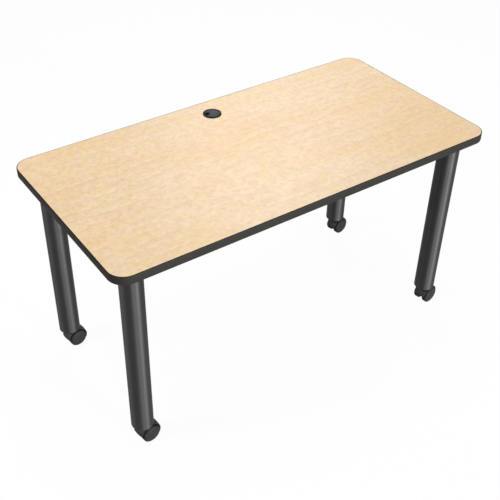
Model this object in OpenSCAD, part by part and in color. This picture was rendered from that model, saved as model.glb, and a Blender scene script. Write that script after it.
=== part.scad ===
// Mobile conference table: a laminated board with a soft edge band, four round post legs and
// four hooded twin-wheel casters. Millimetres, +Z up, the origin on the floor under the middle
// of the worktop. +X runs along the length and +Y towards the edge with the cable grommet.

/* [Table] */
// Length of the worktop over its edge band
table_l = 1400; // [1100:10:2000]
// Width of the worktop over its edge band
table_w = 700; // [550:10:1000]
// Height of the worktop above the floor
table_h = 760; // [600:5:900]
// Radius of the worktop's four corners in plan
corner_r = 55; // [30:1:120]
// From the worktop's end to the centre of a leg
leg_inset_x = 84; // [75:1:200]
// From the worktop's long edge to the centre of a leg
leg_inset_y = 84; // [75:1:160]

/* [Worktop] */
// Thickness of the particleboard core
core_t = 27; // [24:0.5:38]
// Thickness of the decorative laminate on top
laminate_t = 0.8; // [0.5:0.1:1.5]
// Thickness of the balancing sheet underneath
backer_t = 0.8; // [0.5:0.1:1.5]

/* [Edge band] */
// Thickness of the band in front of the core's edge
band_t = 3; // [2.5:0.5:7]
// Rounding of the band's two long edges
band_round = 2; // [1:0.5:2.5]
// Depth that the spine reaches into the core
spine_l = 10; // [8:1:14]
// Thickness of the spine between its barbs
spine_t = 1.6; // [1:0.2:2.4]
// Height of a barb above the spine
barb_h = 0.5; // [0.3:0.1:0.8]
// Barbs on each side of the spine
barb_count = 3; // [2:1:5]
// Room between a barb's tip and the wall of the slot
slot_side_gap = 0.1; // [0.05:0.05:0.3]
// Room between the spine's end and the bottom of the slot
slot_end_gap = 1.5; // [0.5:0.5:3]

/* [Grommet] */
// From the back edge to the centre of the grommet
grommet_inset = 87; // [60:1:140]
// Diameter of the hole through the core
grommet_d = 54; // [50:1:80]
// Width of the flange beyond the hole
flange_lip = 5; // [2:0.5:6]
// Height of the flange above the laminate
flange_rise = 3; // [1:0.1:4]
// Wall of the liner's barrel
liner_wall = 2; // [1.5:0.1:3]
// Length of the barrel below the flange
liner_l = 22; // [16:1:24]
// Clearance round the liner and round its flange
liner_gap = 0.2; // [0.1:0.05:0.5]
// Width of the ledge that the cap rests on
ledge_w = 2.5; // [1.5:0.5:4]
// Thickness of the ledge
ledge_t = 1.6; // [1:0.2:3]
// Thickness of the cap's disc at its rim
cap_t = 2; // [1.5:0.1:3]
// Rise of the cap's dome above its rim
cap_rise = 1.4; // [0.6:0.1:2.5]
// Wall of the cap's skirt
skirt_wall = 1.6; // [1:0.1:2.4]
// Depth of the cap's skirt below its disc
skirt_l = 8; // [4:1:12]
// Clearance between the cap and its liner
cap_gap = 0.3; // [0.1:0.05:0.6]
// Width of the cable notch
notch_w = 18; // [10:1:24]
// From the grommet's centre to the inner end of the notch
notch_start = 9; // [6:1:12]
// Direction of the notch, turned from +X
notch_angle = 165; // [-180:1:180]

/* [Legs] */
// Outer diameter of a leg tube
leg_d = 73; // [60:1:80]
// Wall of a leg tube
leg_wall = 2; // [1.5:0.1:4]
// Weld between tube and plate, measured along the plate
weld_leg = 3; // [1.5:0.5:5]
// Side of the square mounting plate
plate_w = 118; // [110:1:130]
// Thickness of the mounting plate
plate_t = 4; // [3:0.5:8]
// Corner radius of the mounting plate
plate_r = 16; // [6:1:24]
// Depth of the locating collar inside the tube
collar_l = 24; // [10:1:40]
// Wall of the locating collar
collar_wall = 3; // [2:0.5:6]
// Clearance between the collar or plug and the tube
tube_gap = 0.2; // [0.1:0.05:0.5]

/* [Plate screws] */
// Distance between the screws, along both sides of the plate
screw_pitch = 92; // [90:1:96]
// Diameter of a screw's shank
screw_d = 5; // [4:0.5:6]
// Length of a screw under its head
screw_l = 24; // [16:1:26]
// Diameter of a screw's head
screw_head_d = 10; // [8:0.5:13]
// Height of a screw's head
screw_head_h = 3; // [2:0.5:4]
// Width of an arm of the head's cross recess
recess_w = 1.2; // [0.8:0.1:1.6]
// Length over two arms of the recess
recess_l = 5; // [3:0.5:6]
// Depth of the recess
recess_depth = 1.4; // [1:0.1:1.8]
// Diameter of a screw's blunt tip
screw_tip_d = 1; // [0.5:0.5:2]
// Clearance round the shank in the plate
plate_hole_gap = 0.5; // [0.2:0.1:1]
// Clearance round the shank in its pilot hole
pilot_gap = 0.05; // [0.05:0.05:0.2]
// Room past the screw's tip
pilot_end_gap = 1; // [0.5:0.5:2]

/* [Leg plug] */
// Height of the plug inside the tube
plug_h = 30; // [26:1:50]
// Wall of the plug's outer ring
plug_wall = 3; // [2:0.5:6]
// Thickness of the plug's floor
plug_floor = 4; // [3:0.5:8]
// Diameter of the boss round the stem's socket
plug_boss_d = 24; // [20:1:34]
// Radial ribs between boss and ring
plug_ribs = 6; // [3:1:12]
// Thickness of a rib
plug_rib_t = 2.5; // [1.5:0.5:5]

/* [Caster] */
// Height of a leg tube's end above the floor
mount_h = 79; // [78:1:90]
// Direction in which the casters trail, turned from +X
trail_angle = 7; // [-180:1:180]
// From the swivel axis back to the axle
caster_offset = 16.5; // [16:0.5:20]
// Overall width over both wheels
caster_w = 62; // [56:1:64]
// Thickness of the web between the wheels
web_t = 16; // [15:0.5:18]
// From the wheels' cavity to the crown of the hood, at mid width
hood_crown = 4.6; // [4:0.2:5.4]
// Wall of the hood at its two side edges
hood_edge = 2.4; // [2:0.2:3]
// From a wheel's outer side in to the hood's side edge
hood_inset = 9; // [6:0.5:10]
// Radius of the bead along the hood's side edges
bead_r = 1.6; // [1:0.1:2]
// Height of the hood's lower edge where it leads
hood_lead_z = 37; // [33:1:41]
// Height of the hood's lower edge where it trails
hood_trail_z = 15; // [10:1:22]
// Diameter of the turret round the swivel pin
turret_d = 24; // [20:1:26]

/* [Wheels] */
// Diameter of a wheel over its tread
wheel_d = 65; // [60:1:66]
// Room between a tread and the hood
wheel_gap = 2; // [1:0.5:3]
// Thickness of the tread
tread_t = 5; // [4.5:0.5:6]
// Rounding of the tread's shoulders
tread_round = 3.5; // [2:0.5:4.5]
// Thickness of the lips that hold the tread
lip_t = 1; // [0.6:0.2:2]
// Height of the lips
lip_h = 1; // [0.5:0.1:1.5]
// Wall of the wheel's rim
rim_wall = 2.5; // [1.5:0.5:4]
// Thickness of the wheel's outer face
face_t = 2.4; // [1.6:0.2:4]
// Rise of the face's dome above the rim
face_rise = 3; // [1:0.5:4]
// Diameter of the hub
hub_d = 15; // [12:1:18]
// Radial ribs behind the face
wheel_ribs = 8; // [4:1:12]
// Thickness of a rib
wheel_rib_t = 1.6; // [1:0.2:3]
// Room between wheel and web
wheel_side_gap = 1; // [0.6:0.2:2]
// Play between hub and web, and between the axle's ends and the closed hubs
end_play = 0.3; // [0.1:0.05:0.4]

/* [Stem and axle] */
// Diameter of the stem in its socket
stem_d = 10; // [8:0.5:12]
// Length of the stem in its socket
stem_l = 24; // [15:1:24]
// Clearance between stem and socket
stem_gap = 0.1; // [0.05:0.05:0.2]
// Room past the stem's end in its socket
socket_end_gap = 2; // [1:0.5:2]
// Width across the flats of the stem's hexagon collar
hex_w = 17; // [14:0.5:19]
// Height of the hexagon collar
hex_h = 4; // [3:0.5:5]
// Diameter of the swivel pin
pin_d = 9; // [8:0.5:9.5]
// Height of the pin's tip above the floor
pin_tip_z = 41.5; // [41:0.5:42.5]
// Radial running clearance of the swivel pin and of the axle
run_gap = 0.05; // [0.02:0.01:0.09]
// Thickness of the thrust washer
washer_t = 1; // [0.5:0.1:1.4]
// Diameter of the thrust washer
washer_d = 20; // [14:1:22]
// From the pin's tip up to the retaining clip
clip_up = 5; // [3:0.5:5]
// Thickness of the retaining clip
clip_t = 1; // [0.8:0.1:1.4]
// Outer diameter of the retaining clip
clip_d = 14; // [12:0.5:14.5]
// Depth of the clip's groove in the pin
clip_groove = 1; // [0.5:0.1:1.5]
// Opening angle of the clip
clip_open = 60; // [40:5:90]
// Height of the clip's window in the web
window_h = 10; // [6:0.5:12]
// Room beside the clip in its window
window_gap = 2; // [1:0.5:3]
// Diameter of the axle
axle_d = 6; // [5:0.5:7]
// Chamfer at the axle's two ends
axle_chamfer = 0.6; // [0.2:0.1:1]
// From an end of the axle in to its groove
groove_in = 2.5; // [2:0.5:4]
// Width of that groove
groove_w = 2.4; // [1.8:0.2:3]
// Depth of that groove
groove_depth = 0.9; // [0.7:0.1:1.2]

/* [Hidden] */
$fn = 96;
eps = 0.01;
cut = 1;

top_t = core_t + laminate_t + backer_t;
under_z = table_h - top_t;
core_l = table_l - 2 * band_t;
core_w = table_w - 2 * band_t;
core_r = corner_r - band_t;
slot_d = spine_l + slot_end_gap;
slot_h = spine_t + 2 * (barb_h + slot_side_gap);
barb_pitch = spine_l / (barb_count + 1);
// A barb runs back to the spine over most of its pitch
barb_l = 0.8 * barb_pitch;
spine_tip_t = spine_t / 2;

grommet_y = table_w / 2 - grommet_inset;
flange_d = grommet_d + 2 * flange_lip;
barrel_d = grommet_d - 2 * liner_gap;
throat_d = barrel_d - 2 * liner_wall;
ledge_d = throat_d - 2 * ledge_w;
cap_d = throat_d - 2 * cap_gap;
skirt_d = ledge_d - 2 * cap_gap;
flange_z = table_h - laminate_t;
flange_t = flange_rise + laminate_t;
// A little under half the flange, so that a flat is left between the two roundings
flange_round = 0.45 * flange_t;
cap_top_z = table_h + flange_rise;
ledge_z = cap_top_z - cap_t;

leg_x = table_l / 2 - leg_inset_x;
leg_y = table_w / 2 - leg_inset_y;
tube_d = leg_d - 2 * leg_wall;
collar_d = tube_d - 2 * tube_gap;
plug_d = tube_d - 2 * tube_gap;
tube_top_z = under_z - plate_t;
socket_d = stem_d + 2 * stem_gap;
socket_l = stem_l + socket_end_gap;

wheel_r = wheel_d / 2;
axle_z = wheel_r;
cavity_r = wheel_r + wheel_gap;
crown_z = cavity_r + hood_crown;
edge_x = cavity_r + hood_edge;
hood_w = caster_w - 2 * hood_inset;
// Radius of the crown arc that falls from crown_z at mid width to edge_x at the hood's edges
crown_r = (pow(hood_w / 2, 2) + pow(crown_z - edge_x, 2)) / (2 * (crown_z - edge_x));
wheel_in = web_t / 2 + wheel_side_gap;
rim_out = caster_w / 2 - face_rise;
wheel_w = rim_out - wheel_in;
hub_in = web_t / 2 + end_play;
face_z = rim_out - face_t;
axle_end = face_z - end_play;
groove_z = axle_end - groove_in - groove_w;
rim_r = wheel_r - tread_t;
hex_z = mount_h - hex_h;
washer_z = hex_z - end_play - washer_t;
clip_z = pin_tip_z + clip_up;
window_top = clip_z + clip_t + end_play;
window_w = clip_d + 2 * window_gap;

CORNERS = ["front_left", "back_left", "front_right", "back_right"];
FOUR = ["leg_tube_", "leg_plate_", "plate_screws_", "leg_plug_", "caster_stem_", "stem_clip_",
        "swivel_washer_", "hood_", "axle_", "near_wheel_", "near_tread_", "far_wheel_", "far_tread_"];

// Plane shapes and sweeps

module rounded_rect(l, w, r) {
    square([l - 2 * r, w], center = true);
    square([l, w - 2 * r], center = true);
    for (x = [-1, 1], y = [-1, 1])
        translate([x * (l / 2 - r), y * (w / 2 - r)])
            circle(r);
}

// A bar from x = 0 to x = w whose two corners at x = w are rounded
module soft_bar(w, h, r) {
    intersection() {
        translate([0, h / 2])
            rounded_rect(2 * w, h, r);
        square([w, h]);
    }
}

// Half section of a dome: an arc that starts at the radius r and rises towards the axis
module dome_section(r, rise) {
    dome_r = (pow(r, 2) + pow(rise, 2)) / (2 * rise);
    intersection() {
        translate([0, rise - dome_r])
            circle(dome_r, $fn = 360);
        translate([0, -eps])
            square([r, rise + cut]);
    }
}

// Carries a section round a rounded rectangle; its x = 0 runs along the rectangle's edge
module round_the_edge(l, w, r) {
    for (side = [0 : 3]) {
        span = side % 2 == 0 ? w : l;
        reach = side % 2 == 0 ? l : w;
        rotate(90 * side) {
            translate([reach / 2, 0, 0])
                rotate([90, 0, 0])
                    linear_extrude(span - 2 * r, center = true)
                        children();
            translate([reach / 2 - r, span / 2 - r, 0])
                rotate_extrude(angle = 90)
                    translate([r, 0])
                        children();
        }
    }
}

module ring(d_out, d_in, h) {
    difference() {
        cylinder(d = d_out, h = h);
        translate([0, 0, -cut])
            cylinder(d = d_in, h = h + 2 * cut);
    }
}

// Places
function corner_sign(i) = [i < 2 ? -1 : 1, i % 2 == 0 ? -1 : 1];

module at_grommet() {
    translate([0, grommet_y, 0])
        children();
}

module at_leg(i) {
    translate([corner_sign(i).x * leg_x, corner_sign(i).y * leg_y, 0])
        children();
}

module at_caster(i) {
    at_leg(i)
        rotate(trail_angle)
            children();
}

module at_plate_screws() {
    for (x = [-1, 1], y = [-1, 1])
        translate([x * screw_pitch / 2, y * screw_pitch / 2, 0])
            children();
}

// Turns a solid of revolution about Z into one about the axle
module on_axle() {
    translate([caster_offset, 0, axle_z])
        rotate([-90, 0, 0])
            children();
}

// The same for one wheel: z = 0 at mid web, growing outwards
module wheel_side(far) {
    translate([caster_offset, 0, axle_z])
        rotate([far ? -90 : 90, 0, 0])
            children();
}

// Worktop

module pilot_holes() {
    depth = screw_l - plate_t + pilot_end_gap;
    for (i = [0 : 3])
        at_leg(i)
            at_plate_screws()
                translate([0, 0, under_z - cut])
                    cylinder(d = screw_d + 2 * pilot_gap, h = depth + cut);
}

module top_core() {
    z0 = under_z + backer_t;
    side_t = (core_t - slot_h) / 2;
    color("burlywood")
        difference() {
            union() {
                translate([0, 0, z0])
                    linear_extrude(side_t)
                        rounded_rect(core_l, core_w, core_r);
                translate([0, 0, z0 + side_t])
                    linear_extrude(slot_h)
                        rounded_rect(core_l - 2 * slot_d, core_w - 2 * slot_d, core_r - slot_d);
                translate([0, 0, z0 + side_t + slot_h])
                    linear_extrude(side_t)
                        rounded_rect(core_l, core_w, core_r);
            }
            at_grommet()
                translate([0, 0, z0 - cut])
                    cylinder(d = grommet_d, h = core_t + 2 * cut);
            pilot_holes();
        }
}

// The laminate stops round the flange, which sits in it on the core
module top_laminate() {
    color("wheat")
        translate([0, 0, flange_z])
            linear_extrude(laminate_t)
                difference() {
                    rounded_rect(core_l, core_w, core_r);
                    at_grommet()
                        circle(d = flange_d + 2 * liner_gap);
                }
}

module backer_sheet() {
    color("dimgray")
        difference() {
            translate([0, 0, under_z])
                linear_extrude(backer_t)
                    rounded_rect(core_l, core_w, core_r);
            at_grommet()
                translate([0, 0, under_z - cut])
                    cylinder(d = grommet_d, h = backer_t + 2 * cut);
            pilot_holes();
        }
}

// Half of the spine's saw-toothed outline, from the band to the blunt end
function barb_side() = [
    for (i = [1 : barb_count])
        each [[-i * barb_pitch, spine_t / 2 + barb_h], [-i * barb_pitch - barb_l, spine_t / 2]]
];

module spine_section() {
    upper = barb_side();
    lower = [for (i = [len(upper) - 1 : -1 : 0]) [upper[i].x, -upper[i].y]];
    polygon(concat(
        [[0, -spine_t / 2], [0, spine_t / 2], [-barb_pitch, spine_t / 2]],
        upper,
        [[-spine_l, spine_tip_t / 2], [-spine_l, -spine_tip_t / 2]],
        lower,
        [[-barb_pitch, -spine_t / 2]]
    ));
}

module band_section() {
    soft_bar(band_t, top_t, band_round);
    translate([0, backer_t + core_t / 2])
        spine_section();
}

module edge_band() {
    color([0.2, 0.2, 0.2])
        translate([0, 0, under_z])
            round_the_edge(core_l, core_w, core_r)
                band_section();
}

// Grommet

module liner_section() {
    // Flange with a rounded outer edge
    translate([throat_d / 2, flange_z])
        soft_bar((flange_d - throat_d) / 2, flange_t, flange_round);
    // Barrel and the ledge for the cap
    translate([throat_d / 2, flange_z - liner_l])
        square([liner_wall, liner_l + eps]);
    translate([ledge_d / 2, ledge_z - ledge_t])
        square([ledge_w + eps, ledge_t]);
}

module grommet_liner() {
    color([0.15, 0.15, 0.16])
        at_grommet()
            rotate_extrude()
                liner_section();
}

module cable_notch(z0, h) {
    r = notch_w / 2;
    rotate(notch_angle)
        translate([notch_start + r, 0, z0])
            linear_extrude(h) {
                circle(r);
                translate([0, -r])
                    square([cap_d, notch_w]);
            }
}

module cap_section() {
    translate([0, ledge_z])
        square([cap_d / 2, cap_t]);
    translate([0, cap_top_z])
        dome_section(cap_d / 2, cap_rise);
}

module grommet_cap() {
    skirt_z = ledge_z - skirt_l;
    color([0.25, 0.26, 0.28])
        at_grommet()
            difference() {
                union() {
                    rotate_extrude()
                        cap_section();
                    translate([0, 0, skirt_z])
                        ring(skirt_d, skirt_d - 2 * skirt_wall, skirt_l + eps);
                }
                cable_notch(skirt_z - cut, skirt_l + cap_t + cap_rise + 2 * cut);
            }
}

// Legs

module leg_tube() {
    color([0.18, 0.18, 0.19]) {
        translate([0, 0, mount_h])
            ring(leg_d, tube_d, tube_top_z - mount_h);
        // Weld bead against the plate
        rotate_extrude()
            translate([leg_d / 2, tube_top_z])
                polygon([[-eps, 0], [weld_leg, 0], [-eps, -weld_leg]]);
    }
}

module leg_plate() {
    color([0.18, 0.18, 0.19])
        difference() {
            union() {
                translate([0, 0, tube_top_z])
                    linear_extrude(plate_t)
                        rounded_rect(plate_w, plate_w, plate_r);
                translate([0, 0, tube_top_z - collar_l])
                    ring(collar_d, collar_d - 2 * collar_wall, collar_l + eps);
            }
            at_plate_screws()
                translate([0, 0, tube_top_z - cut])
                    cylinder(d = screw_d + 2 * plate_hole_gap, h = plate_t + 2 * cut);
        }
}

// A pan head under the plate, domed by an arc, with a cross recess, and its shank above
module plate_screw() {
    dome_r = (pow(screw_head_d / 2, 2) + pow(screw_head_h, 2)) / (2 * screw_head_h);
    difference() {
        union() {
            rotate_extrude()
                intersection() {
                    translate([0, dome_r - screw_head_h])
                        circle(dome_r);
                    translate([0, -screw_head_h])
                        square([screw_head_d / 2, screw_head_h]);
                }
            translate([0, 0, -eps])
                cylinder(d = screw_d, h = screw_l - screw_d / 2 + eps);
            translate([0, 0, screw_l - screw_d / 2])
                cylinder(d1 = screw_d, d2 = screw_tip_d, h = screw_d / 2);
        }
        for (turn = [0, 90])
            rotate(turn)
                translate([0, 0, -screw_head_h])
                    cube([recess_l, recess_w, 2 * recess_depth], center = true);
    }
}

module plate_screws() {
    color("silver")
        at_plate_screws()
            translate([0, 0, tube_top_z])
                plate_screw();
}

module leg_plug() {
    rib_l = (plug_d - plug_boss_d) / 2;
    color([0.12, 0.12, 0.12])
        translate([0, 0, mount_h])
            difference() {
                union() {
                    cylinder(d = plug_d, h = plug_floor);
                    ring(plug_d, plug_d - 2 * plug_wall, plug_h);
                    cylinder(d = plug_boss_d, h = plug_h);
                    for (i = [0 : plug_ribs - 1])
                        rotate(i * 360 / plug_ribs)
                            translate([plug_boss_d / 2 - cut, -plug_rib_t / 2, 0])
                                cube([rib_l - plug_wall + 2 * cut, plug_rib_t, plug_h - plug_wall]);
                }
                translate([0, 0, -cut])
                    cylinder(d = socket_d, h = socket_l + cut);
            }
}

// Caster

module caster_stem() {
    color([0.22, 0.22, 0.23])
        difference() {
            union() {
                translate([0, 0, mount_h - eps])
                    cylinder(d = stem_d, h = stem_l + eps);
                translate([0, 0, hex_z])
                    cylinder(r = hex_w / 2 / cos(30), h = hex_h, $fn = 6);
                translate([0, 0, pin_tip_z])
                    cylinder(d = pin_d, h = hex_z - pin_tip_z + eps);
            }
            translate([0, 0, clip_z])
                ring(pin_d + 2 * cut, pin_d - 2 * clip_groove, clip_t);
        }
}

module stem_clip() {
    color("gray")
        translate([0, 0, clip_z])
            rotate(180 + clip_open / 2)
                rotate_extrude(angle = 360 - clip_open)
                    translate([pin_d / 2 - clip_groove, 0])
                        square([clip_d / 2 - pin_d / 2 + clip_groove, clip_t]);
}

module swivel_washer() {
    color([0.12, 0.12, 0.12])
        translate([0, 0, washer_z])
            ring(washer_d, pin_d + 2 * end_play, washer_t);
}

// Half section of web and fender: x is the radius from the axle and y the place along it
module hood_section() {
    difference() {
        intersection() {
            translate([crown_z - crown_r, 0])
                circle(crown_r, $fn = 360);
            translate([0, -hood_w / 2])
                square([crown_z + cut, hood_w]);
        }
        for (side = [-1, 1])
            translate([0, side * (web_t / 2 + caster_w / 2)])
                square([2 * cavity_r, caster_w], center = true);
    }
    for (side = [-1, 1])
        translate([cavity_r + bead_r + eps, side * (hood_w / 2 - bead_r)])
            circle(bead_r);
}

// Everything under the slanting lower edge of the hood, in the plane of the web
module below_hood() {
    x0 = caster_offset - crown_z;
    x1 = caster_offset + crown_z;
    slope = (hood_trail_z - hood_lead_z) / (x1 - x0);
    far_out = crown_z;
    rotate([90, 0, 0])
        linear_extrude(2 * caster_w, center = true)
            polygon([
                [x0 - far_out, hood_lead_z - slope * far_out],
                [x1 + far_out, hood_trail_z + slope * far_out],
                [x1 + far_out, -far_out],
                [x0 - far_out, -far_out]
            ]);
}

module wheel_cavities() {
    for (far = [false, true])
        wheel_side(far)
            translate([0, 0, web_t / 2])
                cylinder(r = cavity_r, h = caster_w);
}

module hood() {
    turret_z0 = window_top + hood_crown / 2;
    color([0.1, 0.1, 0.11])
        difference() {
            union() {
                difference() {
                    union() {
                        on_axle()
                            rotate_extrude()
                                hood_section();
                        translate([0, 0, turret_z0])
                            cylinder(d = turret_d, h = washer_z - turret_z0);
                    }
                    below_hood();
                    wheel_cavities();
                }
                on_axle()
                    cylinder(d = hub_d, h = web_t, center = true);
            }
            // Swivel bore, and the window in which the clip turns
            translate([0, 0, window_top - cut])
                cylinder(d = pin_d + 2 * run_gap, h = washer_z - window_top + 2 * cut);
            translate([-window_w / 2, -caster_w / 2, window_top - window_h])
                cube([window_w, caster_w, window_h]);
            on_axle()
                cylinder(d = axle_d, h = caster_w, center = true);
        }
}

// Outline of one half of the axle: x is the radius and y the place from mid web outwards
function axle_half() = [
    [axle_d / 2, groove_z],
    [axle_d / 2 - groove_depth, groove_z],
    [axle_d / 2 - groove_depth, groove_z + groove_w],
    [axle_d / 2, groove_z + groove_w],
    [axle_d / 2, axle_end - axle_chamfer],
    [axle_d / 2 - axle_chamfer, axle_end]
];

// A pressed pin with a groove near each end, into which the hub of a wheel clicks
module axle() {
    upper = axle_half();
    lower = [for (i = [len(upper) - 1 : -1 : 0]) [upper[i].x, -upper[i].y]];
    color("silver")
        on_axle()
            rotate_extrude()
                polygon(concat([[0, -axle_end]], lower, upper, [[0, axle_end]]));
}

// Half section of a wheel's moulding: x is the radius and y the place along the axle
module wheel_section() {
    bore_r = axle_d / 2 + run_gap;
    ridge_r = axle_d / 2 - groove_depth + end_play;
    // Rim with a lip at each side of the tread
    translate([rim_r - rim_wall, wheel_in])
        square([rim_wall, wheel_w]);
    for (y = [wheel_in, rim_out - lip_t])
        translate([rim_r - eps, y])
            square([lip_h + eps, lip_t]);
    // Closed outer face, domed from the lip's edge
    translate([0, face_z])
        square([rim_r - rim_wall + eps, face_t]);
    translate([0, rim_out])
        dome_section(rim_r + lip_h, face_rise);
    // Hub, and the ridge in its bore that clicks into the axle's groove
    translate([bore_r, hub_in])
        square([hub_d / 2 - bore_r, face_z - hub_in + eps]);
    translate([ridge_r, groove_z + end_play])
        square([bore_r - ridge_r + eps, groove_w - 2 * end_play]);
}

module wheel(far) {
    rib_x = hub_d / 2 - cut;
    rib_l = rim_r - rim_wall - rib_x + cut;
    color([0.14, 0.14, 0.15])
        wheel_side(far) {
            rotate_extrude()
                wheel_section();
            for (i = [0 : wheel_ribs - 1])
                rotate(i * 360 / wheel_ribs)
                    translate([rib_x, -wheel_rib_t / 2, wheel_in + rim_wall])
                        cube([rib_l, wheel_rib_t, face_z - wheel_in - rim_wall + eps]);
        }
}

module tread(far) {
    y0 = wheel_in + lip_t;
    w = wheel_w - 2 * lip_t;
    color([0.08, 0.08, 0.08])
        wheel_side(far)
            rotate_extrude()
                translate([rim_r, y0])
                    soft_bar(tread_t, w, tread_round);
}

top_core();
top_laminate();
backer_sheet();
edge_band();
grommet_liner();
grommet_cap();

for (i = [0 : 3]) {
    corner = CORNERS[i];
    at_leg(i) leg_tube();
    at_leg(i) leg_plate();
    at_leg(i) plate_screws();
    at_leg(i) leg_plug();
    at_caster(i) caster_stem();
    at_caster(i) stem_clip();
    at_caster(i) swivel_washer();
    at_caster(i) hood();
    at_caster(i) axle();
    at_caster(i) wheel(false);
    at_caster(i) tread(false);
    at_caster(i) wheel(true);
    at_caster(i) tread(true);
}
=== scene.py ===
import bpy
import math
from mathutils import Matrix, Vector


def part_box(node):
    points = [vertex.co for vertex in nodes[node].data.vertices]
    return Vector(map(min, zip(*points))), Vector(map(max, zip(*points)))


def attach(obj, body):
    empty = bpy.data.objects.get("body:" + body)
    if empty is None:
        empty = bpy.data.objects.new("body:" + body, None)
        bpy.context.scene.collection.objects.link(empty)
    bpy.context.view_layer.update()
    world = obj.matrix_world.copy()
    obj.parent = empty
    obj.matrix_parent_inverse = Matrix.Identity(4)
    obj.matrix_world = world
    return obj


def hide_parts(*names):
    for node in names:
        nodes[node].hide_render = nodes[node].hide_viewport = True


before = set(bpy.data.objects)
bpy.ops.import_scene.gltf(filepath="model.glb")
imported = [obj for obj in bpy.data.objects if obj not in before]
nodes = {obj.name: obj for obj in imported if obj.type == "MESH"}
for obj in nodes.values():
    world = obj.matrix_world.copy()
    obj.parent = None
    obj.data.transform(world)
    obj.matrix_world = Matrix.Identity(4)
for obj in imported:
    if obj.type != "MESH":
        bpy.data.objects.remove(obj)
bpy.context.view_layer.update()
scene = bpy.context.scene
corners = ["front_left", "back_left", "front_right", "back_right"]
print("frame loaded:", len(nodes), "nodes")


def atCorners(prefix):
    return [prefix + corner for corner in corners]


# Node building. An input may be a number, a socket or a whole node, whose first output is taken.

def feed(tree, socket, value):
    if isinstance(value, bpy.types.Node):
        value = value.outputs[0]
    if isinstance(value, bpy.types.NodeSocket):
        tree.links.new(value, socket)
    else:
        socket.default_value = value


def feedInTurn(tree, node, values):
    # the inputs of a math or mix node are told apart by their order alone
    for socket, value in zip(node.inputs, values):
        feed(tree, socket, value)
    return node


def add(tree, kind, inputs=None, **settings):
    node = tree.nodes.new(kind)
    for name, value in settings.items():
        setattr(node, name, value)
    for name, value in (inputs or {}).items():
        feed(tree, node.inputs[name], value)
    return node


def calc(tree, operation, *values):
    return feedInTurn(tree, add(tree, "ShaderNodeMath", operation=operation), values)


def xyz(tree, x=0.0, y=0.0, z=0.0):
    return add(tree, "ShaderNodeCombineXYZ", {"X": x, "Y": y, "Z": z})


# Colours and patterns

def shade(red, green, blue):
    # screen values from 0 to 255, as the linear colour that a socket holds
    def linear(value):
        value = value / 255
        return value / 12.92 if value <= 0.04045 else ((value + 0.055) / 1.055) ** 2.4
    return (linear(red), linear(green), linear(blue), 1.0)


def tint(colour, factor, lighter):
    return tuple(min(1.0, channel * factor + lighter) for channel in colour[:3]) + (1.0,)


def newFinish(name, **constants):
    material = bpy.data.materials.new(name)
    material.use_nodes = True
    tree = material.node_tree
    shader = tree.nodes["Principled BSDF"]
    for socket, value in constants.items():
        shader.inputs[socket.replace("_", " ")].default_value = value
    return material, tree, shader


def onPiece(tree, stretch=(1, 1, 1), turn=(0, 0, 0), shift=(0, 0, 0)):
    # Object coordinates in metres; a larger stretch packs the pattern closer along that axis
    place = tree.nodes.new("ShaderNodeTexCoord").outputs["Object"]
    return add(tree, "ShaderNodeMapping", {
        "Vector": place, "Location": shift, "Rotation": turn, "Scale": stretch})


def cloud(tree, scale, detail=3.0, roughness=0.5, distortion=0.0, stretch=(1, 1, 1),
          shift=(0, 0, 0)):
    return add(tree, "ShaderNodeTexNoise", {
        "Vector": onPiece(tree, stretch, shift=shift), "Scale": scale, "Detail": detail,
        "Roughness": roughness, "Distortion": distortion})


def between(tree, value, lowIn, highIn, lowOut, highOut):
    return add(tree, "ShaderNodeMapRange", {
        "Value": value, "From Min": lowIn, "From Max": highIn, "To Min": lowOut, "To Max": highOut})


def ramp(tree, value, stops):
    node = add(tree, "ShaderNodeValToRGB", {"Fac": value})
    node.color_ramp.interpolation = "EASE"
    elements = node.color_ramp.elements
    while len(elements) < len(stops):
        elements.new(0.5)  # gets its own place below
    for element, (position, colour) in zip(elements, stops):
        element.position = position
        element.color = colour
    return node


def blend(tree, share, first, second):
    # for colours, the mix node takes its share at 0 and the colours at 6 and 7, and gives output 2
    node = add(tree, "ShaderNodeMix", data_type="RGBA")
    for position, value in ((0, share), (6, first), (7, second)):
        feed(tree, node.inputs[position], value)
    return node.outputs[2]


softEdge = {"radius": 0.0004, "samples": 4}  # metres, in the shading alone


def emboss(tree, shader, height, strength, distance):
    # relief over edges that are rounded off a little
    edge = add(tree, "ShaderNodeBevel", {"Radius": softEdge["radius"]}, samples=softEdge["samples"])
    relief = add(tree, "ShaderNodeBump", {
        "Height": height, "Strength": strength, "Distance": distance, "Normal": edge})
    feed(tree, shader.inputs["Normal"], relief)


def vary(tree, shader, colour, roughness, most, wear):
    # colour and gloss that change together over the piece
    pattern = cloud(tree, **wear["pattern"])
    share = between(tree, pattern, *wear["toneRange"], 0.0, most)
    worn = tint(colour, wear["tint"], wear["lighter"])
    feed(tree, shader.inputs["Base Color"], blend(tree, share, colour, worn))
    smoothest, roughest = roughness - wear["smoother"], roughness + wear["rougher"]
    feed(tree, shader.inputs["Roughness"],
         between(tree, pattern, *wear["glossRange"], smoothest, roughest))
    return pattern


def paint(material, *names):
    for name in names:
        mesh = nodes[name].data
        mesh.materials.clear()
        mesh.materials.append(material)


# The photograph's view

view = {
    "azimuth": -33.579, "elevation": 37.556, "distance": 3.0175,  # degrees, and metres from the aim
    "aimX": -0.1025, "aimY": 0.0501, "aimBelowTop": 0.3766,
    "focalPixels": 865.12, "centreX": 221.56, "centreY": 242.20, "framePixels": 500,
    "sensor": 36.0, "nearest": 0.05, "farthest": 60.0,
}


def hang(name, data, place, sight):
    # puts a camera or lamp at its place, looking along its line of sight
    holder = bpy.data.objects.new(name, data)
    holder.location = place
    holder.rotation_euler = sight.to_track_quat("-Z", "Y").to_euler()
    scene.collection.objects.link(holder)
    return holder


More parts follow.
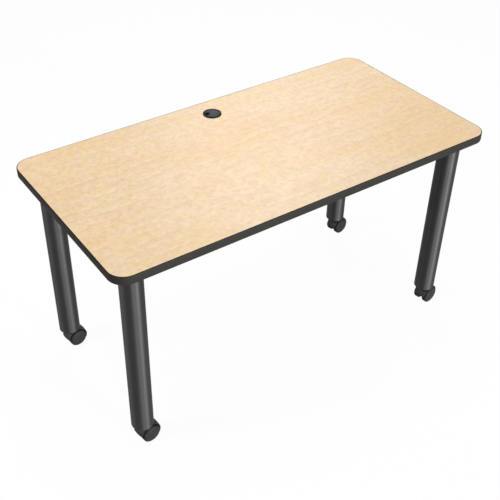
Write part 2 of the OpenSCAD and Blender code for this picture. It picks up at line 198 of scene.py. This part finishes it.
def placeCamera(topSurface):
    azimuth, elevation = math.radians(view["azimuth"]), math.radians(view["elevation"])
    level = math.cos(elevation)
    back = Vector((math.sin(azimuth) * level, -math.cos(azimuth) * level, math.sin(elevation)))
    aim = Vector((view["aimX"], view["aimY"], topSurface - view["aimBelowTop"]))
    camera = bpy.data.cameras.new("photoCamera")
    camera.sensor_width = view["sensor"]
    camera.lens = view["focalPixels"] / view["framePixels"] * view["sensor"]
    camera.shift_x = 0.5 - view["centreX"] / view["framePixels"]
    camera.shift_y = view["centreY"] / view["framePixels"] - 0.5
    camera.clip_start, camera.clip_end = view["nearest"], view["farthest"]
    scene.camera = hang("photoCamera", camera, aim + back * view["distance"], -back)


bandLow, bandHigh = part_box("edge_band")
placeCamera(bandHigh.z)
print("camera placed")


# Pale floor, white backdrop and soft lamps

studio = {
    # the floor's colour for the table's light and for the camera, the white behind it, how much of
    # the table's shadow shows on it, and the backdrop's light on the table
    "floorSize": 30.0, "floorColour": shade(170, 170, 170), "shownColour": shade(250, 250, 250),
    "shownWhite": 1.0, "shadowShare": 0.05, "skyStrength": 0.22,
}
white = (1.0, 1.0, 1.0, 1.0)
lamps = {
    # metres, and watts
    "keyLamp": {"from": (1.9, -8.0, 0.35), "size": (1.0, 0.6), "power": 2250},
    "fillLamp": {"from": (-2.4, -7.6, 0.35), "size": (1.6, 0.6), "power": 1050},
    "leftLamp": {"from": (-4.2, 0.6, 2.2), "size": (1.2, 1.4), "power": 105},
    "lowLeftLamp": {"from": (-5.5, 1.6, 0.5), "size": (1.2, 0.8), "power": 90},
    "overheadLamp": {"from": (0.5, 0.2, 3.6), "size": (2.0, 2.0), "power": 44},
    "rearLamp": {"from": (2.0, 2.6, 3.3), "size": (1.4, 1.2), "power": 30},
}


def shownWhite(tree):
    # 1 for rays from the camera and in reflections, and 0 for light on its way to the object
    path = tree.nodes.new("ShaderNodeLightPath").outputs
    mirrored = calc(tree, "MAXIMUM", path["Is Glossy Ray"], path["Is Transmission Ray"])
    return calc(tree, "MAXIMUM", path["Is Camera Ray"], mirrored)


def mixShaders(tree, *values):
    return feedInTurn(tree, tree.nodes.new("ShaderNodeMixShader"), values)


def layFloor():
    half = studio["floorSize"] / 2
    mesh = bpy.data.meshes.new("studioFloor")
    mesh.from_pydata([(-half, -half, 0), (half, -half, 0), (half, half, 0), (-half, half, 0)],
                     [], [(0, 1, 2, 3)])
    floor = bpy.data.objects.new("studioFloor", mesh)
    scene.collection.objects.link(floor)
    material = bpy.data.materials.new("studioFloor")
    material.use_nodes = True
    tree = material.node_tree
    tree.nodes.clear()
    seen = shownWhite(tree)
    colour = blend(tree, seen, studio["floorColour"], studio["shownColour"])
    matt = add(tree, "ShaderNodeBsdfDiffuse", {"Color": colour})
    glow = add(tree, "ShaderNodeEmission", {"Color": white, "Strength": studio["shownWhite"]})
    share = calc(tree, "MULTIPLY", seen, 1 - studio["shadowShare"])
    add(tree, "ShaderNodeOutputMaterial", {"Surface": mixShaders(tree, share, matt, glow)})
    mesh.materials.append(material)


def paintSky():
    sky = bpy.data.worlds.new("studioSky")
    scene.world = sky
    sky.use_nodes = True
    tree = sky.node_tree
    tree.nodes.clear()
    lit, shown = [
        add(tree, "ShaderNodeBackground", {"Color": white, "Strength": studio[strength]})
        for strength in ("skyStrength", "shownWhite")]
    add(tree, "ShaderNodeOutputWorld", {"Surface": mixShaders(tree, shownWhite(tree), lit, shown)})


def hangLamps():
    aim = Vector((0, 0, bandHigh.z / 2))
    for name, lamp in lamps.items():
        light = bpy.data.lights.new(name, "AREA")
        light.shape = "RECTANGLE"
        light.size, light.size_y = lamp["size"]
        light.energy = lamp["power"]
        hang(name, light, lamp["from"], aim - Vector(lamp["from"]))


layFloor()
paintSky()
hangLamps()
scene.view_settings.view_transform = "Standard"
print("floor, backdrop and lamps placed")


# Worktop: maple laminate on particleboard, with a balancing sheet underneath

maple = {
    "deep": shade(247, 213, 165), "light": shade(247, 224, 187), "pink": shade(252, 208, 184),
    "yellow": shade(243, 222, 154), "figure": shade(208, 166, 114), "specular": 0.6,
    # broad tones, long in X, from deep to light
    "tones": {"scale": 2.2, "distortion": 0.4, "stretch": (0.8, 2.6, 1)},
    "deepBelow": 0.32, "lightAbove": 0.62,
    # laid over them in turn: colour, where it starts and is full in its pattern, its share where
    # it is full, and the pattern
    "mottle": [
        ("pink", 0.45, 0.65, 0.5, {"scale": 46.0, "stretch": (0.7, 1.2, 1), "shift": (4, 2, 0)}),
        ("yellow", 0.46, 0.66, 0.45, {"scale": 36.0, "stretch": (0.7, 1.2, 1), "shift": (9, 5, 0)}),
        ("figure", 0.38, 0.7, 0.42, {"scale": 64.0, "roughness": 0.7, "shift": (3, 8, 0)}),
    ],
    # growth rings, cut almost flat, which fade in and out
    "rings": {"Scale": 2.6, "Distortion": 10.0, "Detail": 3.0, "Detail Scale": 0.9,
              "Detail Roughness": 0.5},
    "ringStretch": (0.6, 3.0, 1), "ringTurn": (0, 0, 0.02),
    "ringFading": {"scale": 2.0, "detail": 2.0, "stretch": (1.2, 3.0, 1), "shift": (2, 6, 0)},
    "fadingRange": (0.4, 0.62), "ringShare": (0.04, 0.24),
    # fibres and short flecks, given as the mottle is
    "fibres": [
        ("figure", 0.42, 0.75, 0.16,
         {"scale": 3.0, "detail": 4.0, "roughness": 0.65, "stretch": (5.0, 190.0, 1)}),
        ("figure", 0.6, 0.72, 0.34,
         {"scale": 2.0, "detail": 2.0, "stretch": (40.0, 330.0, 1), "shift": (1, 7, 0)}),
    ],
    "gloss": {"scale": 40.0, "detail": 2.0}, "glossRange": (0.3, 0.7), "roughness": (0.37, 0.45),
    "grain": {"scale": 2600.0, "detail": 2.0}, "grainStrength": 0.12, "grainDepth": 0.00015,
}


def layOver(tree, ground, layers):
    for colour, start, full, most, pattern in layers:
        share = between(tree, cloud(tree, **pattern), start, full, 0.0, most)
        ground = blend(tree, share, ground, maple[colour])
    return ground


def mapleLaminate():
    material, tree, shader = newFinish("mapleLaminate", Specular_IOR_Level=maple["specular"])
    ground = ramp(tree, cloud(tree, **maple["tones"]), [
        (maple["deepBelow"], maple["deep"]), (maple["lightAbove"], maple["light"])])
    ground = layOver(tree, ground, maple["mottle"])
    place = onPiece(tree, maple["ringStretch"], turn=maple["ringTurn"])
    rings = add(tree, "ShaderNodeTexWave", dict(maple["rings"], Vector=place),
                wave_type="BANDS", bands_direction="Y", wave_profile="SAW")
    fading = between(tree, cloud(tree, **maple["ringFading"]),
                     *maple["fadingRange"], *maple["ringShare"])
    share = calc(tree, "MULTIPLY", rings.outputs["Fac"], fading)
    ground = blend(tree, share, ground, maple["figure"])
    ground = layOver(tree, ground, maple["fibres"])
    feed(tree, shader.inputs["Base Color"], ground)
    feed(tree, shader.inputs["Roughness"], between(
        tree, cloud(tree, **maple["gloss"]), *maple["glossRange"], *maple["roughness"]))
    emboss(tree, shader, cloud(tree, **maple["grain"]), maple["grainStrength"], maple["grainDepth"])
    return material


board = {
    "chips": [(0.0, shade(120, 88, 56)), (0.4, shade(176, 140, 96)), (0.75, shade(206, 174, 128)),
              (1.0, shade(226, 200, 158))],
    "chipScale": 420.0, "chipStretch": (0.5, 0.5, 1.6), "chipStrength": 0.5, "chipDepth": 0.0005,
    "roughness": 0.85, "specular": 0.25,
}


def particleboard():
    material, tree, shader = newFinish(
        "particleboard", Roughness=board["roughness"], Specular_IOR_Level=board["specular"])
    chips = add(tree, "ShaderNodeTexVoronoi", {
        "Vector": onPiece(tree, board["chipStretch"]), "Scale": board["chipScale"]})
    tone = add(tree, "ShaderNodeSeparateColor", {"Color": chips.outputs["Color"]})
    feed(tree, shader.inputs["Base Color"], ramp(tree, tone, board["chips"]))
    emboss(tree, shader, chips.outputs["Distance"], board["chipStrength"], board["chipDepth"])
    return material


balancing = {
    "colours": [(0.3, shade(58, 52, 47)), (0.7, shade(80, 72, 64))], "specular": 0.35,
    "fibres": {"scale": 24.0, "detail": 6.0, "roughness": 0.7, "stretch": (3.0, 3.0, 1)},
    "glossRange": (0.3, 0.7), "roughness": (0.5, 0.66),
    "grain": {"scale": 1500.0, "detail": 2.0}, "grainStrength": 0.15, "grainDepth": 0.0002,
}


def balancingSheet():
    material, tree, shader = newFinish("balancingSheet", Specular_IOR_Level=balancing["specular"])
    fibres = cloud(tree, **balancing["fibres"])
    feed(tree, shader.inputs["Base Color"], ramp(tree, fibres, balancing["colours"]))
    feed(tree, shader.inputs["Roughness"],
         between(tree, fibres, *balancing["glossRange"], *balancing["roughness"]))
    emboss(tree, shader, cloud(tree, **balancing["grain"]),
           balancing["grainStrength"], balancing["grainDepth"])
    return material


paint(mapleLaminate(), "top_laminate")
paint(particleboard(), "top_core")
paint(balancingSheet(), "backer_sheet")
print("worktop finished")


# Moulded plastics

moulded = {
    # colour, roughness, specular level, grain per metre, grain strength, share of rubbed patches
    "edgeVinyl": (shade(18, 17, 15), 0.6, 0.06, 2200.0, 0.3, 0.15),
    "grommetPlastic": (shade(18, 16, 15), 0.5, 0.08, 1800.0, 0.15, 0.3),
    "capPlastic": (shade(36, 40, 47), 0.42, 0.16, 1800.0, 0.15, 0.3),
    "plugPlastic": (shade(24, 24, 24), 0.55, 0.3, 1500.0, 0.2, 0.3),
    "hoodNylon": (shade(13, 13, 14), 0.45, 0.16, 1800.0, 0.15, 0.35),
    "wheelNylon": (shade(11, 11, 12), 0.5, 0.1, 1800.0, 0.15, 0.4),
    "treadRubber": (shade(9, 9, 9), 0.65, 0.06, 1200.0, 0.35, 0.6),
    "washerNylon": (shade(30, 30, 30), 0.45, 0.4, 1500.0, 0.1, 0.3),
}
plasticWear = {
    # where the patches start and are full in their pattern, and how they change colour and gloss
    "pattern": {"scale": 55.0, "detail": 4.0, "roughness": 0.6}, "toneRange": (0.45, 0.8),
    "tint": 1.9, "lighter": 0.006, "glossRange": (0.3, 0.75), "smoother": 0.05, "rougher": 0.12,
    "grainDetail": 2.0, "grainRoughness": 0.6, "grainDepth": 0.0002,
}


def mouldedPlastic(name):
    colour, roughness, specular, grain, strength, rubbed = moulded[name]
    material, tree, shader = newFinish(name, Specular_IOR_Level=specular)
    vary(tree, shader, colour, roughness, rubbed, plasticWear)
    pebbles = cloud(tree, grain, plasticWear["grainDetail"], plasticWear["grainRoughness"])
    emboss(tree, shader, pebbles, strength, plasticWear["grainDepth"])
    return material


plastics = {name: mouldedPlastic(name) for name in moulded}
paint(plastics["grommetPlastic"], "grommet_liner")
paint(plastics["capPlastic"], "grommet_cap")
paint(plastics["plugPlastic"], *atCorners("leg_plug_"))
paint(plastics["washerNylon"], *atCorners("swivel_washer_"))
paint(plastics["hoodNylon"], *atCorners("hood_"))
for side in ("near", "far"):
    paint(plastics["wheelNylon"], *atCorners(side + "_wheel_"))
    paint(plastics["treadRubber"], *atCorners(side + "_tread_"))
print("plastics finished")


# Powder-coated posts and plates, and the bare steel parts

coated = {
    # colour, roughness, and how much smoother it is round the post than along it
    "postCoat": (shade(8, 8, 9), 0.53, 0.72),
    "plateCoat": (shade(16, 16, 17), 0.5, 0.0),
}
coatWear = {
    # as in plasticWear, with the share of the second tone and the coat's own grain
    "pattern": {"scale": 18.0}, "toneRange": (0.35, 0.7), "mostShare": 1.0, "tint": 0.8,
    "lighter": 0.0, "glossRange": (0.3, 0.7), "smoother": 0.03, "rougher": 0.05, "specular": 0.25,
    "grain": {"scale": 900.0, "detail": 2.0, "roughness": 0.4}, "grainStrength": 0.1,
    "grainDepth": 0.0002,
}
bare = {
    # colour and roughness
    "zincPlate": (shade(190, 192, 190), 0.38),
    "axleSteel": (shade(178, 178, 176), 0.32),
    "springSteel": (shade(92, 92, 94), 0.4),
    "blackOxide": (shade(58, 58, 60), 0.42),
}
steelWear = {
    # as in plasticWear, with the share of the second tone and the relief of the marks themselves
    "pattern": {"scale": 600.0, "detail": 4.0, "roughness": 0.7}, "toneRange": (0.35, 0.7),
    "mostShare": 0.8, "tint": 0.72, "lighter": 0.0, "glossRange": (0.3, 0.7), "smoother": 0.06,
    "rougher": 0.1, "markStrength": 0.08, "markDepth": 0.0001,
}


def powderCoat(name):
    colour, roughness, smootherRound = coated[name]
    quarterTurn = 0.25  # it makes the highlights long along the post
    material, tree, shader = newFinish(
        name, Specular_IOR_Level=coatWear["specular"], Anisotropic=smootherRound,
        Anisotropic_Rotation=quarterTurn)
    roundPost = add(tree, "ShaderNodeTangent", direction_type="RADIAL", axis="Z")
    feed(tree, shader.inputs["Tangent"], roundPost)
    vary(tree, shader, colour, roughness, coatWear["mostShare"], coatWear)
    emboss(tree, shader, cloud(tree, **coatWear["grain"]),
           coatWear["grainStrength"], coatWear["grainDepth"])
    return material


def bareSteel(name):
    colour, roughness = bare[name]
    material, tree, shader = newFinish(name, Metallic=1.0)
    marks = vary(tree, shader, colour, roughness, steelWear["mostShare"], steelWear)
    emboss(tree, shader, marks, steelWear["markStrength"], steelWear["markDepth"])
    return material


coats = {name: powderCoat(name) for name in coated}
steels = {name: bareSteel(name) for name in bare}
paint(coats["postCoat"], *atCorners("leg_tube_"))
paint(coats["plateCoat"], *atCorners("leg_plate_"))
paint(steels["blackOxide"], *atCorners("caster_stem_"))
paint(steels["springSteel"], *atCorners("stem_clip_"))
paint(steels["axleSteel"], *atCorners("axle_"))
print("metals finished")


# Geometry Nodes: a tree with named sizes, and its result as a plain mesh

def newTree(name, sizes):
    tree = bpy.data.node_groups.new(name, "GeometryNodeTree")
    for label, value in sizes.items():
        kind = "NodeSocketInt" if isinstance(value, int) else "NodeSocketFloat"
        tree.interface.new_socket(label, in_out="INPUT", socket_type=kind)
    tree.interface.new_socket("finish", in_out="INPUT", socket_type="NodeSocketMaterial")
    tree.interface.new_socket("piece", in_out="OUTPUT", socket_type="NodeSocketGeometry")
    return tree, tree.nodes.new("NodeGroupInput").outputs


def closeTree(tree, shape, given):
    plain = add(tree, "GeometryNodeRealizeInstances", {"Geometry": shape})
    whole = add(tree, "GeometryNodeSetMaterial", {"Geometry": plain, "Material": given["finish"]})
    feed(tree, tree.nodes.new("NodeGroupOutput").inputs["piece"], whole)


def gather(tree, *parts):
    node = tree.nodes.new("GeometryNodeJoinGeometry")
    for part in parts:
        feed(tree, node.inputs[0], part)
    return node


def move(tree, shape, place=(0, 0, 0), turn=(0, 0, 0), scale=(1, 1, 1)):
    return add(tree, "GeometryNodeTransform", {
        "Geometry": shape, "Translation": place, "Rotation": turn, "Scale": scale})


def raised(tree, shape, height):
    return move(tree, shape, xyz(tree, z=height))


def rectangle(tree, width, height):
    return add(tree, "GeometryNodeCurvePrimitiveQuadrilateral", {"Width": width, "Height": height})


def circle(tree, sides, radius):
    return add(tree, "GeometryNodeCurvePrimitiveCircle", {"Resolution": sides, "Radius": radius})


def sweep(tree, path, profile, **inputs):
    return add(tree, "GeometryNodeCurveToMesh", {"Curve": path, "Profile Curve": profile, **inputs})


def join(tree, shape, distance):
    return add(tree, "GeometryNodeMergeByDistance", {"Geometry": shape, "Distance": distance})


def atFour(tree, spacingX, spacingY, shape):
    # one at each corner of a rectangle
    grid = add(tree, "GeometryNodeMeshGrid", {
        "Size X": spacingX, "Size Y": spacingY, "Vertices X": 2, "Vertices Y": 2})
    return add(tree, "GeometryNodeInstanceOnPoints", {"Points": grid, "Instance": shape})


def makePiece(tree, name, sizes, finish, sharpAngle=35):
    holder = bpy.data.objects.new(name, bpy.data.meshes.new(name + "Start"))
    scene.collection.objects.link(holder)
    modifier = holder.modifiers.new(name, "NODES")
    modifier.node_group = tree
    for socket in tree.interface.items_tree:
        if socket.in_out == "INPUT":
            value = finish if socket.name == "finish" else sizes[socket.name]
            modifier[socket.identifier] = value
    graph = bpy.context.evaluated_depsgraph_get()
    mesh = bpy.data.meshes.new_from_object(holder.evaluated_get(graph))
    holder.modifiers.remove(modifier)
    holder.data = mesh
    mesh.name = name
    mesh.shade_smooth()
    mesh.set_sharp_from_angle(angle=math.radians(sharpAngle))
    print(name, "made:", len(mesh.polygons), "faces")
    return holder


# Edge band: a T-shaped extrusion swept round the worktop, with a barbed spine in the core's slot

edgeBand = {
    "cornerRadius": 0.055, "cornerSteps": 24, "thickness": 0.003, "rounding": 0.002,
    "roundingSteps": 6, "spineDepth": 0.010, "spineThickness": 0.0016, "spineOverlap": 0.0005,
    "barbCount": 3, "barbHeight": 0.0005, "barbShare": 0.8,  # of the way from one barb to the next
    "joinWithin": 1e-5,
}


def bandPath(tree, given):
    # the core's outline
    inset = calc(tree, "MULTIPLY", given["thickness"], 2.0)
    outline = rectangle(tree, calc(tree, "SUBTRACT", given["length"], inset),
                        calc(tree, "SUBTRACT", given["width"], inset))
    path = add(tree, "GeometryNodeFilletCurve", {
        "Curve": outline, "Count": given["cornerSteps"],
        "Radius": calc(tree, "SUBTRACT", given["cornerRadius"], given["thickness"])}, mode="POLY")
    return add(tree, "GeometryNodeSetCurveNormal", {"Curve": path}, mode="Z_UP")


def bandSection(tree, given):
    # the bar in front of the core, rounded at its two outer corners
    across = add(tree, "ShaderNodeSeparateXYZ", {
        "Vector": tree.nodes.new("GeometryNodeInputPosition")})
    outer = calc(tree, "GREATER_THAN", across, 0.0)
    bar = add(tree, "GeometryNodeFilletCurve", {
        "Curve": rectangle(tree, given["thickness"], given["height"]),
        "Count": given["roundingSteps"],
        "Radius": calc(tree, "MULTIPLY", outer, given["rounding"])}, mode="POLY")
    bar = move(tree, bar, xyz(tree, calc(tree, "MULTIPLY", given["thickness"], 0.5)))
    # the spine, which overlaps the bar a little
    spineLength = calc(tree, "ADD", given["spineDepth"], given["spineOverlap"])
    spineEnds = calc(tree, "SUBTRACT", given["spineOverlap"], given["spineDepth"])
    spine = move(tree, rectangle(tree, spineLength, given["spineThickness"]),
                 xyz(tree, calc(tree, "MULTIPLY", spineEnds, 0.5)))
    # barbs: one triangle, repeated along the spine and turned over for its other side
    gaps = calc(tree, "ADD", given["barbCount"], 1.0)
    back = calc(tree, "DIVIDE", given["spineDepth"], calc(tree, "MULTIPLY", gaps, -1.0))
    tail = calc(tree, "MULTIPLY", back, given["barbShare"])
    barb = add(tree, "GeometryNodeCurvePrimitiveQuadrilateral", {
        "Point 1": xyz(tree), "Point 2": xyz(tree, y=given["barbHeight"]),
        "Point 3": xyz(tree, tail), "Point 4": xyz(tree, calc(tree, "MULTIPLY", tail, 0.5))},
        mode="POINTS")
    top = calc(tree, "MULTIPLY", given["spineThickness"], 0.5)
    row = add(tree, "GeometryNodeMeshLine", {
        "Count": given["barbCount"], "Start Location": xyz(tree, back, top),
        "Offset": xyz(tree, back)})
    upper = add(tree, "GeometryNodeInstanceOnPoints", {"Points": row, "Instance": barb})
    upper = add(tree, "GeometryNodeRealizeInstances", {"Geometry": upper})
    lower = add(tree, "GeometryNodeReverseCurve", {"Curve": move(tree, upper, scale=(1, -1, 1))})
    return gather(tree, bar, spine, upper, lower)


def edgeBandTree(sizes):
    tree, given = newTree("edgeBand", sizes)
    swept = sweep(tree, bandPath(tree, given), bandSection(tree, given))
    whole = join(tree, swept, given["joinWithin"])
    closeTree(tree, raised(tree, whole, given["midHeight"]), given)
    return tree


bandSizes = dict(edgeBand, length=bandHigh.x - bandLow.x, width=bandHigh.y - bandLow.y,
                 height=bandHigh.z - bandLow.z, midHeight=(bandHigh.z + bandLow.z) / 2)
band = makePiece(edgeBandTree(bandSizes), "edgeBand", bandSizes, plastics["edgeVinyl"])
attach(band, "table")
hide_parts("edge_band")


# Plate screws: pan heads with a cross recess and threaded shanks, four at each leg

plateScrew = {
    "headDiameter": 0.010, "headHeight": 0.003, "headSides": 24, "domeSteps": 9, "poleRadius": 1e-6,
    "recessWidth": 0.0012, "recessLength": 0.005, "recessDepth": 0.0014, "recessTaper": 0.55,
    "shankDiameter": 0.0038, "shankSides": 12, "plainLength": 0.004,
    "tipLength": 0.004, "tipRadius": 0.0003,
    "threadHeight": 0.0006, "threadPitch": 0.0018, "threadSides": 3, "threadSteps": 12,
    "runOut": 12.0,  # with a larger number, the thread reaches its height nearer its ends
    "joinWithin": 1e-5, "joinThreadWithin": 1e-6, "seed": 7,
}


def screwHead(tree, given):
    # the dome is an arc turned about the axis, closed by a disc against the plate
    radius = calc(tree, "MULTIPLY", given["headDiameter"], 0.5)
    square = calc(tree, "ADD", calc(tree, "POWER", radius, 2.0),
                  calc(tree, "POWER", given["headHeight"], 2.0))
    dome = calc(tree, "DIVIDE", square, calc(tree, "MULTIPLY", given["headHeight"], 2.0))
    bend = calc(tree, "ARCSINE", calc(tree, "DIVIDE", radius, dome))
    arc = add(tree, "GeometryNodeCurveArc", {
        "Resolution": given["domeSteps"], "Radius": dome, "Start Angle": math.pi / 2,
        "Sweep Angle": calc(tree, "MULTIPLY", bend, -1.0)}, mode="RADIUS")
    arc = move(tree, arc, xyz(tree, y=calc(tree, "SUBTRACT", given["headHeight"], dome)))
    pole = circle(tree, given["headSides"], given["poleRadius"])
    pole = add(tree, "GeometryNodeSetCurveNormal", {"Curve": pole}, mode="Z_UP")
    cap = add(tree, "GeometryNodeFlipFaces", {"Mesh": sweep(tree, pole, arc)})
    disc = add(tree, "GeometryNodeMeshCircle", {
        "Vertices": given["headSides"], "Radius": radius}, fill_type="NGON")
    head = join(tree, gather(tree, cap, disc), given["joinWithin"])
    # two tapered square cutters, narrowed and crossed, make the recess
    halfDiagonal = calc(tree, "DIVIDE", given["recessLength"], math.sqrt(2))
    cutter = add(tree, "GeometryNodeMeshCone", {
        "Vertices": 4, "Radius Top": calc(tree, "MULTIPLY", halfDiagonal, given["recessTaper"]),
        "Radius Bottom": halfDiagonal,
        "Depth": calc(tree, "MULTIPLY", given["recessDepth"], 2.0)})
    narrow = calc(tree, "DIVIDE", given["recessWidth"], given["recessLength"])
    reach = calc(tree, "ADD", given["headHeight"], given["recessDepth"])
    below = calc(tree, "MULTIPLY", reach, -1.0)
    cutter = move(tree, cutter, turn=(0, 0, math.pi / 4))
    cutter = move(tree, cutter, xyz(tree, z=below), scale=xyz(tree, 1.0, narrow, 1.0))
    crossed = move(tree, cutter, turn=(0, 0, math.pi / 2))
    for piece in (cutter, crossed):
        head = add(tree, "GeometryNodeMeshBoolean", {"Mesh 1": head, "Mesh 2": piece},
                   operation="DIFFERENCE", solver="EXACT")
    return head


def screwThread(tree, given, core, straight):
    # a helix that runs out to nothing at both ends, which closes it too
    threaded = calc(tree, "SUBTRACT", straight, given["plainLength"])
    helix = add(tree, "GeometryNodeCurveSpiral", {
        "Resolution": given["threadSteps"], "Start Radius": core, "End Radius": core,
        "Height": threaded, "Rotations": calc(tree, "DIVIDE", threaded, given["threadPitch"])})
    along = add(tree, "GeometryNodeSplineParameter")
    toEnd = calc(tree, "MINIMUM", along, calc(tree, "SUBTRACT", 1.0, along))
    fullness = calc(tree, "MINIMUM", calc(tree, "MULTIPLY", toEnd, given["runOut"]), 1.0)
    ridge = circle(tree, given["threadSides"], given["threadHeight"])
    thread = join(tree, sweep(tree, helix, ridge, Scale=fullness), given["joinThreadWithin"])
    return raised(tree, thread, given["plainLength"])


def plateScrewTree(sizes):
    tree, given = newTree("plateScrews", sizes)
    core = calc(tree, "MULTIPLY", given["shankDiameter"], 0.5)
    straight = calc(tree, "SUBTRACT", given["length"], given["tipLength"])
    shank = add(tree, "GeometryNodeMeshCylinder", {
        "Vertices": given["shankSides"], "Radius": core, "Depth": straight})
    shank = raised(tree, shank, calc(tree, "MULTIPLY", straight, 0.5))
    tip = add(tree, "GeometryNodeMeshCone", {
        "Vertices": given["shankSides"], "Radius Top": given["tipRadius"], "Radius Bottom": core,
        "Depth": given["tipLength"]})
    screw = gather(tree, screwHead(tree, given), shank, raised(tree, tip, straight),
                   screwThread(tree, given, core, straight))
    # four screws at each of the four legs, each turned by its own angle
    holes = add(tree, "GeometryNodeMeshGrid", {
        "Size X": given["pitch"], "Size Y": given["pitch"], "Vertices X": 2, "Vertices Y": 2})
    spots = atFour(tree, given["legSpacingX"], given["legSpacingY"], holes)
    spots = add(tree, "GeometryNodeRealizeInstances", {"Geometry": spots})
    angle = add(tree, "FunctionNodeRandomValue", {
        "Max": (0, 0, math.pi), "Seed": given["seed"]}, data_type="FLOAT_VECTOR")
    screws = add(tree, "GeometryNodeInstanceOnPoints", {
        "Points": spots, "Instance": screw, "Rotation": angle})
    closeTree(tree, raised(tree, screws, given["plateUnderside"]), given)
    return tree


screwLow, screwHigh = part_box("plate_screws_front_left")
farLow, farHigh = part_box("plate_screws_back_right")
spacing = (farLow + farHigh - (screwLow + screwHigh)) / 2
plateUnderside = screwLow.z + plateScrew["headHeight"]
atPlates = {"legSpacingX": spacing.x, "legSpacingY": spacing.y, "plateUnderside": plateUnderside}
screwSizes = dict(plateScrew, **atPlates, length=screwHigh.z - plateUnderside,
                  pitch=screwHigh.x - screwLow.x - plateScrew["headDiameter"])
screws = makePiece(plateScrewTree(screwSizes), "plateScrews", screwSizes, steels["zincPlate"])
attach(screws, "table")
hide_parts(*atCorners("plate_screws_"))


# Weld beads: rippled rings where the posts meet their plates

weldBead = {
    "ripples": 44, "stepsPerRipple": 6, "ripple": 0.16, "radius": 0.0014, "sides": 10,
    "plugToPost": 0.0022,  # from the plug's outside to the post's
    "outFromPost": 0.0008, "below": 0.0009,
}


def weldBeadTree(sizes):
    tree, given = newTree("weldBeads", sizes)
    postRadius = calc(tree, "ADD", given["plugRadius"], given["plugToPost"])
    path = circle(tree, calc(tree, "MULTIPLY", given["ripples"], given["stepsPerRipple"]),
                  calc(tree, "ADD", postRadius, given["outFromPost"]))
    index = tree.nodes.new("GeometryNodeInputIndex")
    phase = calc(tree, "MULTIPLY", calc(tree, "DIVIDE", index, given["stepsPerRipple"]), math.pi)
    swell = calc(tree, "ABSOLUTE", calc(tree, "SINE", phase))
    thickness = calc(tree, "MULTIPLY_ADD", swell, given["ripple"], 1.0)
    ring = sweep(tree, path, circle(tree, given["sides"], given["radius"]), Scale=thickness)
    rings = atFour(tree, given["legSpacingX"], given["legSpacingY"], ring)
    height = calc(tree, "SUBTRACT", given["plateUnderside"], given["below"])
    closeTree(tree, raised(tree, rings, height), given)
    return tree


plugLow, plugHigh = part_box("leg_plug_front_left")
beadSizes = dict(weldBead, **atPlates, plugRadius=(plugHigh.x - plugLow.x) / 2)
beads = makePiece(weldBeadTree(beadSizes), "weldBeads", beadSizes, coats["plateCoat"],
                  sharpAngle=60)
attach(beads, "table")
